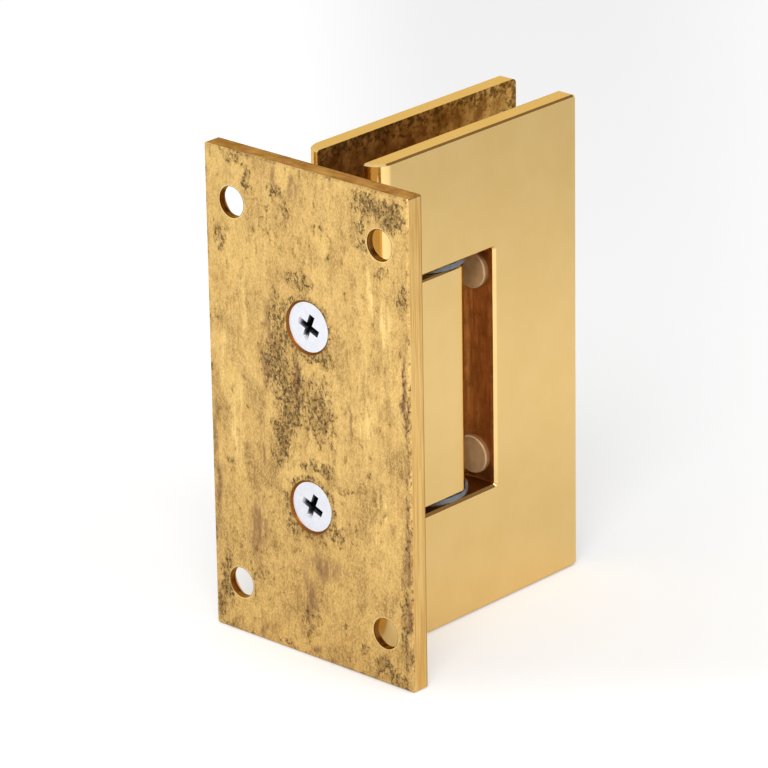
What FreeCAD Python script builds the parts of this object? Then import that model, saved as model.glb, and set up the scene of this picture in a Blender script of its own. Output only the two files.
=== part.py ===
"""Shower door hinge, wall to glass: a wall bracket and a glass clamp that turns on it.

Frame, in millimetres: X runs from the wall towards the door glass, Z is up, and the
origin is the centre of the wall plate's back face. The door is shut, in the XZ plane,
and the clamp's show face looks along -Y.
"""
import FreeCAD, Part
import os
import Sketcher

PARTS_FOLDER = "parts"
NEAR = 0.01          # two coordinates closer than this are the same place
DOWN_X = FreeCAD.Rotation(FreeCAD.Vector(0, 1, 0), 90)    # turns +Z into +X
DOWN_Y = FreeCAD.Rotation(FreeCAD.Vector(1, 0, 0), 90)    # turns +Z into -Y
HALF_TURN = 180.0
RIGHT_ANGLE = 90.0

# Driving dimensions: alias, value, what it measures
DIMENSIONS = [
    ("plate_height", 90.0, "wall plate, along Z"),
    ("plate_width", 47.0, "wall plate, along Y"),
    ("plate_thick", 3.8, "wall plate, along X"),
    ("plate_corner", 0.5, "wall plate, corner radius seen from the front"),
    ("plate_edge", 0.35, "wall plate, chamfer of its face edges"),
    ("wall_hole_dia", 5.6, "holes for the wall screws"),
    ("wall_hole_sink", 10.6, "countersinks of the wall holes, on the room side"),
    ("wall_hole_width", 34.2, "wall holes, spacing along Y"),
    ("wall_hole_height", 71.0, "wall holes, spacing along Z"),
    ("plate_screw_dia", 5.0, "screws from the wall plate into the block"),
    ("plate_screw_head", 9.0, "their countersunk heads"),
    ("plate_screw_sunk", 0.4, "their heads below the wall plate's back"),
    ("plate_screw_length", 15.0, "their length over all"),
    ("plate_screw_inset", 4.6, "their axes from the ends of the block, along Z"),
    ("plate_screw_clock", 22.0, "angle of their cross recesses"),
    ("recess_span", 4.8, "cross recess, tip to tip"),
    ("recess_width", 1.25, "cross recess, width of an arm"),
    ("recess_depth", 2.0, "cross recess, depth"),
    ("recess_taper", 0.55, "cross recess, its size at the bottom over its size at the top"),
    ("pin_offset", 26.5, "pin axis from the wall"),
    ("pin_dia", 8.0, "hinge pin"),
    ("pin_chamfer", 0.6, "hinge pin, chamfers of its ends"),
    ("pin_recess", 0.3, "pin ends below the faces of the lugs"),
    ("flat_depth", 0.5, "detent flats, depth below the pin's round"),
    ("flat_height", 9.0, "detent flats, along the pin"),
    ("block_height", 42.4, "pivot block, along Z"),
    ("block_inset", 0.5, "block faces behind the outer faces of the clamp"),
    ("block_nose", 6.9, "block end beyond the pin axis"),
    ("block_round", 3.8, "rounding of the block's upright end edges"),
    ("block_edge", 0.3, "chamfer of the block's top and bottom edges"),
    ("bush_wall", 1.5, "bush, wall"),
    ("bush_length", 8.0, "bush, length"),
    ("run_clear", 0.04, "running clearance on the radius, pin and pads"),
    ("bore_clear", 0.3, "clearance on the radius round the pin between the bushes"),
    ("washer_dia", 16.6, "thrust washer, outer diameter"),
    ("washer_offset", 2.0, "thrust washer, its centre beyond the pin axis"),
    ("washer_thick", 0.9, "thrust washer, thickness"),
    ("washer_play", 0.1, "play between washer and block"),
    ("pad_wall", 0.5, "detent pad, wall round the spring seat"),
    ("pad_length", 8.0, "detent pad, length"),
    ("pad_edge", 0.4, "detent pad, chamfer of its ends"),
    ("pad_gap", 0.1, "pad drawn back, clear of the pin's round"),
    ("pad_span", 13.0, "detent pads, spacing along Z"),
    ("seat_depth", 1.5, "spring seat in the pad, depth"),
    ("spring_dia", 5.6, "detent spring, outer diameter"),
    ("spring_wire", 0.9, "detent spring, side of its square wire"),
    ("spring_clear", 0.2, "spring in the pad's seat, clearance on the radius"),
    ("spring_turns", 4.0, "detent spring, turns"),
    ("leaf_start", 9.2, "near edges of the clamp plates from the wall"),
    ("clamp_length", 51.7, "clamp plates, along X"),
    ("clamp_height", 89.8, "clamp plates, along Z"),
    ("clamp_thick", 3.4, "clamp plates, along Y"),
    ("glass_gap", 10.6, "space for the glass between the clamp plates"),
    ("clamp_lip", 0.2, "flat left beside the gap by the rounding of the wall-side edges"),
    ("clamp_corner", 0.9, "far corners of the clamp plates, seen from the front"),
    ("clamp_bevel", 0.35, "bevel round the outer faces of the clamp"),
    ("notch_bevel", 0.5, "bevel of the notch on the outer faces"),
    ("notch_reach", 12.2, "end of the notch beyond the pin axis"),
    ("notch_corner", 0.4, "inner corners of the notch"),
    ("lug_height", 11.8, "pin lugs, along Z"),
    ("lug_reach", 12.0, "pin lugs, from the pin axis towards the wall"),
    ("lug_corner", 2.0, "lug corners beside the wall"),
    ("body_wall", 12.9, "centre body beyond the notch, along X"),
    ("body_corner", 5.0, "centre body, corners towards the glass"),
    ("grub_dia", 4.0, "set screws of the pin"),
    ("grub_length", 6.0, "set screws, length"),
    ("grub_socket", 2.0, "set screws, hexagon across flats"),
    ("grub_socket_depth", 2.0, "set screws, depth of the hexagon"),
    ("clamp_screw_dia", 5.0, "screws that draw the clamp together"),
    ("clamp_screw_head", 8.8, "their countersunk heads"),
    ("clamp_screw_sunk", 0.2, "their heads below the rear plate's face"),
    ("clamp_screw_length", 14.0, "their length over all"),
    ("lug_screw_reach", 8.5, "clamp screws in the lugs, beyond the pin axis"),
    ("body_screw_span", 20.0, "clamp screws beyond the notch, spacing along Z"),
    ("tap_spare", 1.0, "threaded holes deeper than their screws"),
    ("buffer_dia", 7.2, "buffer, head"),
    ("buffer_head", 1.0, "buffer, thickness of its head"),
    ("buffer_edge", 0.3, "buffer, chamfer of its head"),
    ("buffer_stem_dia", 3.6, "buffer, stem"),
    ("buffer_stem", 4.0, "buffer, length of its stem"),
    ("buffer_inset", 4.95, "buffer axis behind the clamp's show face"),
    ("buffer_drop", 4.7, "buffer axes from the ends of the notch, along Z"),
]

# Places and sizes that follow from the driving dimensions
GLASS_FACE = "(Dims.glass_gap / 2)"
OUTER_FACE = "(Dims.glass_gap / 2 + Dims.clamp_thick)"
LEAF_END = "(Dims.leaf_start + Dims.clamp_length)"
CLAMP_TOP = "(Dims.clamp_height / 2)"
BLOCK_FACE = "(Dims.glass_gap / 2 + Dims.clamp_thick - Dims.block_inset)"
BLOCK_TOP = "(Dims.block_height / 2)"
BLOCK_END = "(Dims.pin_offset + Dims.block_nose)"
WASHER_SEAT = "(Dims.block_height / 2 + Dims.washer_play)"
NOTCH_TOP = "(Dims.block_height / 2 + Dims.washer_play + Dims.washer_thick)"
NOTCH_END = "(Dims.pin_offset + Dims.notch_reach)"
LUG_START = "(Dims.pin_offset - Dims.lug_reach)"
LUG_TOP = f"({NOTCH_TOP} + Dims.lug_height)"
LUG_MIDDLE = f"({NOTCH_TOP} + Dims.lug_height / 2)"
BODY_END = f"({NOTCH_END} + Dims.body_wall)"
PIN_RADIUS = "(Dims.pin_dia / 2)"
BUSH_RADIUS = "(Dims.pin_dia / 2 + Dims.run_clear + Dims.bush_wall)"
BUSH_BOTTOM = "(Dims.block_height / 2 - Dims.bush_length)"
PAD_FACE = "(Dims.pin_offset - Dims.pin_dia / 2 - Dims.pad_gap)"
PAD_BACK = f"({PAD_FACE} - Dims.pad_length)"
SPRING_LENGTH = f"({PAD_BACK} + Dims.seat_depth - Dims.plate_thick)"
SEAT_RADIUS = "(Dims.spring_dia / 2 + Dims.spring_clear)"
PAD_RADIUS = f"({SEAT_RADIUS} + Dims.pad_wall)"
SCREW_LEVEL = f"({BLOCK_TOP} - Dims.plate_screw_inset)"
SCREW_SINK = "(Dims.plate_screw_head + 2 * Dims.plate_screw_sunk)"
SCREW_END = "(Dims.plate_screw_sunk + Dims.plate_screw_length)"
CLAMP_SCREW_TOP = f"({OUTER_FACE} - Dims.clamp_screw_sunk)"
CLAMP_SCREW_SINK = "(Dims.clamp_screw_head + 2 * Dims.clamp_screw_sunk)"
CLAMP_ROUND = "(Dims.clamp_thick - Dims.clamp_lip)"
GRUB_START = "(Dims.pin_offset - Dims.pin_dia / 2 - Dims.grub_length)"
BUFFER_Y = f"(Dims.buffer_inset - {OUTER_FACE})"
BUFFER_LEVEL = f"({NOTCH_TOP} - Dims.buffer_drop)"

# Clamp screw axes on the XZ plane: two in the lugs, two beyond the notch
CLAMP_SCREW_AXES = [
    ("Dims.pin_offset + Dims.lug_screw_reach", LUG_MIDDLE),
    ("Dims.pin_offset + Dims.lug_screw_reach", f"-{LUG_MIDDLE}"),
    (f"{NOTCH_END} + Dims.body_wall / 2", "Dims.body_screw_span / 2"),
    (f"{NOTCH_END} + Dims.body_wall / 2", "-Dims.body_screw_span / 2"),
]

doc = FreeCAD.newDocument("shower_door_hinge")
dims = doc.addObject("Spreadsheet::Sheet", "Dims")
nodes = []


def fill_sheet():
    """Write the driving dimensions to the sheet, one row each."""
    for row, (alias, value, note) in enumerate(DIMENSIONS, start=1):
        dims.set(f"A{row}", alias)
        dims.set(f"B{row}", str(value))
        dims.set(f"C{row}", note)
        dims.setAlias(f"B{row}", alias)
    doc.recompute()


def size(expression):
    """The number that an expression on the sheet stands for."""
    return float(dims.evalExpression(expression))


def bind(target, **expressions):
    """Tie properties to the sheet; a double underscore in a name stands for a dot."""
    for name, expression in expressions.items():
        target.setExpression(name.replace("__", "."), expression)


def place(target, x="0", y="0", z="0", rotation=None):
    """Put a finished sub-part at a place given by expressions."""
    if rotation is not None:
        target.Placement.Rotation = rotation
    bind(target, Placement__Base__x=x, Placement__Base__y=y, Placement__Base__z=z)


def keep(target, label):
    """Name a finished sub-part; its label names its file."""
    target.Label = label
    nodes.append(target)
    return target


def new_body(name):
    return doc.addObject("PartDesign::Body", f"{name}_body")


def origin_feature(body, role):
    return next(f for f in body.Origin.OriginFeatures if f.Role == role)


def new_sketch(body, name, plane, offset=None):
    """An empty sketch on one of the body's origin planes, or parallel to it."""
    sketch = body.newObject("Sketcher::SketchObject", name)
    sketch.AttachmentSupport = (origin_feature(body, plane), [""])
    sketch.MapMode = "FlatFace"
    if offset is not None:
        bind(sketch, AttachmentOffset__Base__z=offset)
    return sketch


def pin_point(sketch, geometry, position, x, y):
    """Fix a point of the sketch at a place given by expressions."""
    for kind, expression in (("DistanceX", x), ("DistanceY", y)):
        constraint = Sketcher.Constraint(kind, -1, 1, geometry, position, size(expression))
        index = sketch.addConstraint(constraint)
        sketch.setExpression(f"Constraints[{index}]", expression)


def draw_outline(sketch, corners):
    """A closed outline of straight lines through the corners."""
    points = [FreeCAD.Vector(size(x), size(y), 0) for x, y in corners]
    first = sketch.GeometryCount
    count = len(corners)
    for index, point in enumerate(points):
        sketch.addGeometry(Part.LineSegment(point, points[(index + 1) % count]))
    for index, (x, y) in enumerate(corners):
        line = first + index
        following = first + (index + 1) % count
        sketch.addConstraint(Sketcher.Constraint("Coincident", line, 2, following, 1))
        pin_point(sketch, line, 1, x, y)


def draw_circle(sketch, x, y, radius):
    centre = FreeCAD.Vector(size(x), size(y), 0)
    circle = Part.Circle(centre, FreeCAD.Vector(0, 0, 1), size(radius))
    geometry = sketch.addGeometry(circle)
    pin_point(sketch, geometry, 3, x, y)
    index = sketch.addConstraint(Sketcher.Constraint("Radius", geometry, size(radius)))
    sketch.setExpression(f"Constraints[{index}]", radius)


def rectangle(x_low, x_high, y_low, y_high):
    return [(x_low, y_low), (x_high, y_low), (x_high, y_high), (x_low, y_high)]


def pad(body, name, sketch, length, backwards=False, symmetric=False):
    feature = body.newObject("PartDesign::Pad", name)
    feature.Profile = sketch
    feature.Reversed = backwards
    if symmetric:
        feature.SideType = "Symmetric"
    bind(feature, Length=length)
    doc.recompute()
    return feature


def check_cut(feature, volume_before):
    """A cut that points away from the solid removes nothing and raises no error."""
    if feature.Shape.Volume >= volume_before:
        raise RuntimeError(f"{feature.Label} cuts nothing")


def pocket(body, name, sketch, length, towards_normal=False, symmetric=False):
    volume_before = body.Tip.Shape.Volume
    feature = body.newObject("PartDesign::Pocket", name)
    feature.Profile = sketch
    feature.Reversed = towards_normal
    if symmetric:
        feature.SideType = "Symmetric"
    bind(feature, Length=length)
    doc.recompute()
    check_cut(feature, volume_before)
    return feature


def sunk_holes(body, name, sketch, diameter, sink, towards_normal=False):
    """Through holes with a countersink of a right angle on the sketch's side."""
    volume_before = body.Tip.Shape.Volume
    feature = body.newObject("PartDesign::Hole", name)
    feature.Profile = sketch
    doc.recompute()
    feature.DepthType = "ThroughAll"
    feature.HoleCutType = "Countersink"
    feature.HoleCutCustomValues = True
    feature.HoleCutCountersinkAngle = RIGHT_ANGLE
    feature.Reversed = towards_normal
    bind(feature, Diameter=diameter, HoleCutDiameter=sink)
    doc.recompute()
    check_cut(feature, volume_before)
    return feature


def revolve(body, name, sketch, axis):
    feature = body.newObject("PartDesign::Revolution", name)
    feature.Profile = sketch
    feature.ReferenceAxis = (origin_feature(body, axis), [""])
    feature.Angle = 2 * HALF_TURN
    doc.recompute()
    return feature


def edges_at(feature, **places):
    """Names of the edges that lie wholly at the given coordinates."""
    found = []
    for number, edge in enumerate(feature.Shape.Edges, start=1):
        box = edge.BoundBox
        spans = {"x": (box.XMin, box.XMax), "y": (box.YMin, box.YMax), "z": (box.ZMin, box.ZMax)}
        if all(abs(end - at) < NEAR for key, at in places.items() for end in spans[key]):
            found.append(f"Edge{number}")
    return found


def dress(body, kind, name, base, edges, radius):
    """Fillet or chamfer some edges of the base feature."""
    feature = body.newObject(f"PartDesign::{kind}", name)
    feature.Base = (base, edges)
    bind(feature, **{"Radius" if kind == "Fillet" else "Size": radius})
    doc.recompute()
    return feature


def make_wall_plate():
    body = new_body("wall_plate")
    half_width = size("Dims.plate_width / 2")
    half_height = size("Dims.plate_height / 2")
    sketch = new_sketch(body, "plate_outline", "YZ_Plane")
    draw_outline(sketch, rectangle("-Dims.plate_width / 2", "Dims.plate_width / 2",
                                   "-Dims.plate_height / 2", "Dims.plate_height / 2"))
    plate = pad(body, "plate", sketch, "Dims.plate_thick")
    corners = [edge for y in (-half_width, half_width) for z in (-half_height, half_height)
               for edge in edges_at(plate, y=y, z=z)]
    plate = dress(body, "Fillet", "plate_corners", plate, corners, "Dims.plate_corner")
    rims = edges_at(plate, x=0) + edges_at(plate, x=size("Dims.plate_thick"))
    dress(body, "Chamfer", "plate_edges", plate, rims, "Dims.plate_edge")

    sketch = new_sketch(body, "wall_hole_centres", "YZ_Plane", "Dims.plate_thick")
    for y in ("-Dims.wall_hole_width / 2", "Dims.wall_hole_width / 2"):
        for z in ("-Dims.wall_hole_height / 2", "Dims.wall_hole_height / 2"):
            draw_circle(sketch, y, z, "Dims.wall_hole_dia / 2")
    sunk_holes(body, "wall_holes", sketch, "Dims.wall_hole_dia", "Dims.wall_hole_sink")

    sketch = new_sketch(body, "plate_screw_centres", "YZ_Plane")
    for z in (SCREW_LEVEL, f"-{SCREW_LEVEL}"):
        draw_circle(sketch, "0", z, "Dims.plate_screw_dia / 2")
    sunk_holes(body, "plate_screw_holes", sketch, "Dims.plate_screw_dia",
               SCREW_SINK, towards_normal=True)
    keep(body, "wall_plate")


def make_pivot_block():
    body = new_body("pivot_block")
    sketch = new_sketch(body, "block_outline", "XY_Plane")
    draw_outline(sketch, rectangle("Dims.plate_thick", BLOCK_END, f"-{BLOCK_FACE}", BLOCK_FACE))
    block = pad(body, "block", sketch, "Dims.block_height", symmetric=True)
    nose = [edge for side in (-1, 1)
            for edge in edges_at(block, x=size(BLOCK_END), y=side * size(BLOCK_FACE))]
    block = dress(body, "Fillet", "block_nose", block, nose, "Dims.block_round")
    rims = [edge for side in (-1, 1) for edge in edges_at(block, z=side * size(BLOCK_TOP))]
    back = edges_at(block, x=size("Dims.plate_thick"))
    rims = [edge for edge in rims if edge not in back]
    dress(body, "Chamfer", "block_edges", block, rims, "Dims.block_edge")

    sketch = new_sketch(body, "pin_bore_outline", "XY_Plane")
    draw_circle(sketch, "Dims.pin_offset", "0", f"{PIN_RADIUS} + Dims.bore_clear")
    pocket(body, "pin_bore", sketch, "Dims.block_height", symmetric=True)
    for name, level, upwards in (("upper", BUSH_BOTTOM, True), ("lower", f"-{BUSH_BOTTOM}", False)):
        sketch = new_sketch(body, f"{name}_bush_outline", "XY_Plane", level)
        draw_circle(sketch, "Dims.pin_offset", "0", BUSH_RADIUS)
        pocket(body, f"{name}_bush_seat", sketch, "Dims.bush_length", towards_normal=upwards)

    sketch = new_sketch(body, "pad_bore_outlines", "YZ_Plane", "Dims.plate_thick")
    for z in ("-Dims.pad_span / 2", "Dims.pad_span / 2"):
        draw_circle(sketch, "0", z, f"{PAD_RADIUS} + Dims.run_clear")
    pocket(body, "pad_bores", sketch, "Dims.pin_offset - Dims.plate_thick", towards_normal=True)
    sketch = new_sketch(body, "screw_hole_outlines", "YZ_Plane", "Dims.plate_thick")
    for z in (SCREW_LEVEL, f"-{SCREW_LEVEL}"):
        draw_circle(sketch, "0", z, "Dims.plate_screw_dia / 2")
    pocket(body, "screw_holes", sketch, f"{SCREW_END} - Dims.plate_thick + Dims.tap_spare",
           towards_normal=True)
    keep(body, "pivot_block")


def notched_outline(x_low, x_high, top):
    """A plate seen from the front, with the notch for the block cut in its wall side."""
    return [(x_low, f"-{top}"), (x_high, f"-{top}"), (x_high, top), (x_low, top),
            (x_low, NOTCH_TOP), (NOTCH_END, NOTCH_TOP),
            (NOTCH_END, f"-{NOTCH_TOP}"), (x_low, f"-{NOTCH_TOP}")]


def edges_along_y(feature, x, *levels):
    """Edges through the thickness at the given X, above and below the middle."""
    return [edge for level in levels for side in (-1, 1)
            for edge in edges_at(feature, x=size(x), z=side * size(level))]


def finish_clamp_edges(body, base, outer_y):
    """Round the edge beside the wall and the corners, then bevel the outer face and the notch."""
    wall_edges = edges_at(base, x=size("Dims.leaf_start"), y=outer_y)
    shaped = dress(body, "Fillet", "wall_side_rounding", base, wall_edges, CLAMP_ROUND)
    corners = edges_along_y(shaped, LEAF_END, CLAMP_TOP)
    shaped = dress(body, "Fillet", "far_corners", shaped, corners, "Dims.clamp_corner")
    inner = edges_along_y(shaped, NOTCH_END, NOTCH_TOP)
    shaped = dress(body, "Fillet", "notch_corners", shaped, inner, "Dims.notch_corner")
    for name, end, top, bevel in (("outer", LEAF_END, CLAMP_TOP, "Dims.clamp_bevel"),
                                  ("notch", NOTCH_END, NOTCH_TOP, "Dims.notch_bevel")):
        outline = edges_at(shaped, x=size(end), y=outer_y)
        for side in (-1, 1):
            outline += edges_at(shaped, y=outer_y, z=side * size(top))
        shaped = dress(body, "Chamfer", f"{name}_bevel", shaped, outline, bevel)


def make_front_clamp_plate():
    body = new_body("front_clamp_plate")
    sketch = new_sketch(body, "centre_outline", "XZ_Plane", GLASS_FACE)
    draw_outline(sketch, notched_outline(LUG_START, BODY_END, LUG_TOP))
    centre = pad(body, "centre_body", sketch, "Dims.glass_gap", backwards=True)
    centre = dress(body, "Fillet", "centre_corners", centre,
                   edges_along_y(centre, BODY_END, LUG_TOP), "Dims.body_corner")
    dress(body, "Fillet", "lug_corners", centre,
          edges_along_y(centre, LUG_START, LUG_TOP, NOTCH_TOP), "Dims.lug_corner")
    sketch = new_sketch(body, "plate_outline", "XZ_Plane", OUTER_FACE)
    draw_outline(sketch, notched_outline("Dims.leaf_start", LEAF_END, CLAMP_TOP))
    plate = pad(body, "show_plate", sketch, "Dims.clamp_thick", backwards=True)
    finish_clamp_edges(body, plate, -size(OUTER_FACE))

    sketch = new_sketch(body, "lug_bore_outline", "XY_Plane")
    draw_circle(sketch, "Dims.pin_offset", "0", PIN_RADIUS)
    pocket(body, "lug_bores", sketch, f"2 * {LUG_TOP}", symmetric=True)
    sketch = new_sketch(body, "grub_hole_outlines", "YZ_Plane", LUG_START)
    for z in (LUG_MIDDLE, f"-{LUG_MIDDLE}"):
        draw_circle(sketch, "0", z, "Dims.grub_dia / 2")
    pocket(body, "grub_holes", sketch, "Dims.lug_reach", towards_normal=True)
    sketch = new_sketch(body, "clamp_screw_outlines", "XZ_Plane", f"-{GLASS_FACE}")
    for x, z in CLAMP_SCREW_AXES:
        draw_circle(sketch, x, z, "Dims.clamp_screw_dia / 2")
    depth = f"Dims.clamp_screw_length + Dims.tap_spare - {CLAMP_SCREW_TOP} + {GLASS_FACE}"
    pocket(body, "clamp_screw_holes", sketch, depth, towards_normal=True)
    sketch = new_sketch(body, "buffer_hole_outlines", "YZ_Plane", NOTCH_END)
    for z in (BUFFER_LEVEL, f"-{BUFFER_LEVEL}"):
        draw_circle(sketch, BUFFER_Y, z, "Dims.buffer_stem_dia / 2")
    pocket(body, "buffer_holes", sketch, "Dims.buffer_stem", towards_normal=True)
    keep(body, "front_clamp_plate")


def make_rear_clamp_plate():
    body = new_body("rear_clamp_plate")
    sketch = new_sketch(body, "plate_outline", "XZ_Plane", f"-{GLASS_FACE}")
    draw_outline(sketch, notched_outline("Dims.leaf_start", LEAF_END, CLAMP_TOP))
    plate = pad(body, "plate", sketch, "Dims.clamp_thick", backwards=True)
    finish_clamp_edges(body, plate, size(OUTER_FACE))
    sketch = new_sketch(body, "clamp_screw_centres", "XZ_Plane", f"-{OUTER_FACE}")
    for x, z in CLAMP_SCREW_AXES:
        draw_circle(sketch, x, z, "Dims.clamp_screw_dia / 2")
    sunk_holes(body, "clamp_screw_holes", sketch, "Dims.clamp_screw_dia",
               CLAMP_SCREW_SINK, towards_normal=True)
    keep(body, "rear_clamp_plate")


def make_hinge_pin():
    """A round pin with four flats milled at the height of each detent pad."""
    body = new_body("hinge_pin")
    end = f"({LUG_TOP} - Dims.pin_recess)"
    shoulder = f"({end} - Dims.pin_chamfer)"
    sketch = new_sketch(body, "pin_profile", "XZ_Plane")
    draw_outline(sketch, [("0", f"-{end}"), (f"{PIN_RADIUS} - Dims.pin_chamfer", f"-{end}"),
                          (PIN_RADIUS, f"-{shoulder}"), (PIN_RADIUS, shoulder),
                          (f"{PIN_RADIUS} - Dims.pin_chamfer", end), ("0", end)])
    revolve(body, "pin", sketch, "Z_Axis")
    flat = f"({PIN_RADIUS} - Dims.flat_depth)"
    for name, middle in (("upper", "Dims.pad_span / 2"), ("lower", "-Dims.pad_span / 2")):
        sketch = new_sketch(body, f"{name}_flat_outline", "XY_Plane", middle)
        draw_circle(sketch, "0", "0", "Dims.pin_dia")
        draw_outline(sketch, rectangle(f"-{flat}", flat, f"-{flat}", flat))
        pocket(body, f"{name}_flats", sketch, "Dims.flat_height", symmetric=True)
    place(body, x="Dims.pin_offset")
    keep(body, "hinge_pin")


def make_ring(label, inner, outer, bottom, top):
    """A plain ring round the pin axis."""
    body = new_body(label)
    sketch = new_sketch(body, f"{label}_profile", "XZ_Plane")
    draw_outline(sketch, rectangle(inner, outer, bottom, top))
    revolve(body, f"{label}_ring", sketch, "Z_Axis")
    place(body, x="Dims.pin_offset")
    keep(body, label)


def make_washer(label, bore, bottom):
    """A thrust washer: a disc that reaches further towards the glass, with the pin's hole."""
    body = new_body(label)
    sketch = new_sketch(body, f"{label}_outline", "XY_Plane", bottom)
    draw_circle(sketch, "Dims.washer_offset", "0", "Dims.washer_dia / 2")
    draw_circle(sketch, "0", "0", bore)
    pad(body, f"{label}_disc", sketch, "Dims.washer_thick")
    place(body, x="Dims.pin_offset")
    keep(body, label)


def make_bushes_and_washers():
    bore = f"{PIN_RADIUS} + Dims.run_clear"
    make_ring("upper_bush", bore, BUSH_RADIUS, BUSH_BOTTOM, BLOCK_TOP)
    make_ring("lower_bush", bore, BUSH_RADIUS, f"-{BLOCK_TOP}", f"-{BUSH_BOTTOM}")
    make_washer("upper_washer", bore, WASHER_SEAT)
    make_washer("lower_washer", bore, f"-{NOTCH_TOP}")


def make_detent(name, level):
    """A pad that slides towards the pin, and the spring between it and the wall plate."""
    body = new_body(f"{name}_detent_pad")
    sketch = new_sketch(body, f"{name}_pad_profile", "XY_Plane")
    draw_outline(sketch, [("Dims.seat_depth", "0"), ("Dims.seat_depth", SEAT_RADIUS),
                          ("0", SEAT_RADIUS), ("0", f"{PAD_RADIUS} - Dims.pad_edge / 2"),
                          ("Dims.pad_edge / 2", PAD_RADIUS),
                          ("Dims.pad_length - Dims.pad_edge", PAD_RADIUS),
                          ("Dims.pad_length", f"{PAD_RADIUS} - Dims.pad_edge"),
                          ("Dims.pad_length", "0")])
    revolve(body, f"{name}_pad", sketch, "X_Axis")
    place(body, x=PAD_BACK, z=level)
    keep(body, f"{name}_detent_pad")

    body = new_body(f"{name}_detent_spring")
    sketch = new_sketch(body, f"{name}_wire_section", "XZ_Plane")
    draw_outline(sketch, rectangle("Dims.spring_dia / 2 - Dims.spring_wire", "Dims.spring_dia / 2",
                                   "0", "Dims.spring_wire"))
    coil = body.newObject("PartDesign::AdditiveHelix", f"{name}_coil")
    coil.Profile = sketch
    coil.ReferenceAxis = (origin_feature(body, "Z_Axis"), [""])
    coil.Mode = "height-turns-angle"
    bind(coil, Height=f"{SPRING_LENGTH} - Dims.spring_wire", Turns="Dims.spring_turns")
    doc.recompute()
    place(body, x="Dims.plate_thick", z=level, rotation=DOWN_X)
    keep(body, f"{name}_detent_spring")


def make_buffer(label, level):
    """A mushroom-headed buffer, its stem pressed into the end wall of the notch."""
    body = new_body(label)
    radius = "(Dims.buffer_dia / 2)"
    stem = "(Dims.buffer_stem_dia / 2)"
    sketch = new_sketch(body, f"{label}_profile", "XY_Plane")
    draw_outline(sketch, [("-Dims.buffer_head", "0"), ("Dims.buffer_stem", "0"),
                          ("Dims.buffer_stem", stem), ("0", stem), ("0", radius),
                          ("-Dims.buffer_head", radius)])
    head = revolve(body, f"{label}_turned", sketch, "X_Axis")
    rim = edges_at(head, x=-size("Dims.buffer_head"))
    dress(body, "Chamfer", f"{label}_rim", head, rim, "Dims.buffer_edge")
    place(body, x=NOTCH_END, y=BUFFER_Y, z=level)
    keep(body, label)


def add_part(kind, name, **expressions):
    """A solid primitive whose sizes are tied to the sheet."""
    primitive = doc.addObject(f"Part::{kind}", name)
    bind(primitive, **expressions)
    return primitive


def cross_arm(name, angle):
    """One tapered arm of a cross recess, deep along +Z."""
    half_span = "(Dims.recess_span / 2)"
    half_width = "(Dims.recess_width / 2)"
    arm = add_part("Wedge", name, Ymin="0", Ymax="Dims.recess_depth",
                   Xmin=f"-{half_span}", Xmax=half_span, Zmin=f"-{half_width}", Zmax=half_width,
                   X2min=f"-{half_span} * Dims.recess_taper", X2max=f"{half_span} * Dims.recess_taper",
                   Z2min=f"-{half_width} * Dims.recess_taper", Z2max=f"{half_width} * Dims.recess_taper")
    upright = FreeCAD.Rotation(FreeCAD.Vector(1, 0, 0), RIGHT_ANGLE)
    arm.Placement.Rotation = FreeCAD.Rotation(FreeCAD.Vector(0, 0, 1), angle) * upright
    return arm


def sunk_screw(name, head, diameter, length):
    """A countersunk screw with a cross recess: top of the head at the origin, point along +Z."""
    cone = add_part("Cone", f"{name}_head", Radius1=f"{head} / 2", Radius2=f"{diameter} / 2",
                    Height=f"({head} - {diameter}) / 2")
    shank = add_part("Cylinder", f"{name}_shank", Radius=f"{diameter} / 2", Height=length)
    blank = doc.addObject("Part::MultiFuse", f"{name}_blank")
    blank.Shapes = [cone, shank]
    recess = doc.addObject("Part::MultiFuse", f"{name}_recess")
    recess.Shapes = [cross_arm(f"{name}_arm", 0), cross_arm(f"{name}_cross_arm", RIGHT_ANGLE)]
    screw = doc.addObject("Part::Cut", name)
    screw.Base = blank
    screw.Tool = recess
    return screw


def grub_screw(name):
    """A set screw with a hexagon socket: socket end at the origin, point along +Z."""
    shank = add_part("Cylinder", f"{name}_shank", Radius="Dims.grub_dia / 2", Height="Dims.grub_length")
    socket = add_part("Prism", f"{name}_socket", Circumradius="Dims.grub_socket / sqrt(3)",
                      Height="Dims.grub_socket_depth")
    socket.Polygon = 6
    screw = doc.addObject("Part::Cut", name)
    screw.Base = shank
    screw.Tool = socket
    return screw


def keep_group(label, members):
    """Identical fasteners share one node as separate solids."""
    group = doc.addObject("Part::Compound", label)
    group.Links = members
    keep(group, label)


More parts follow.
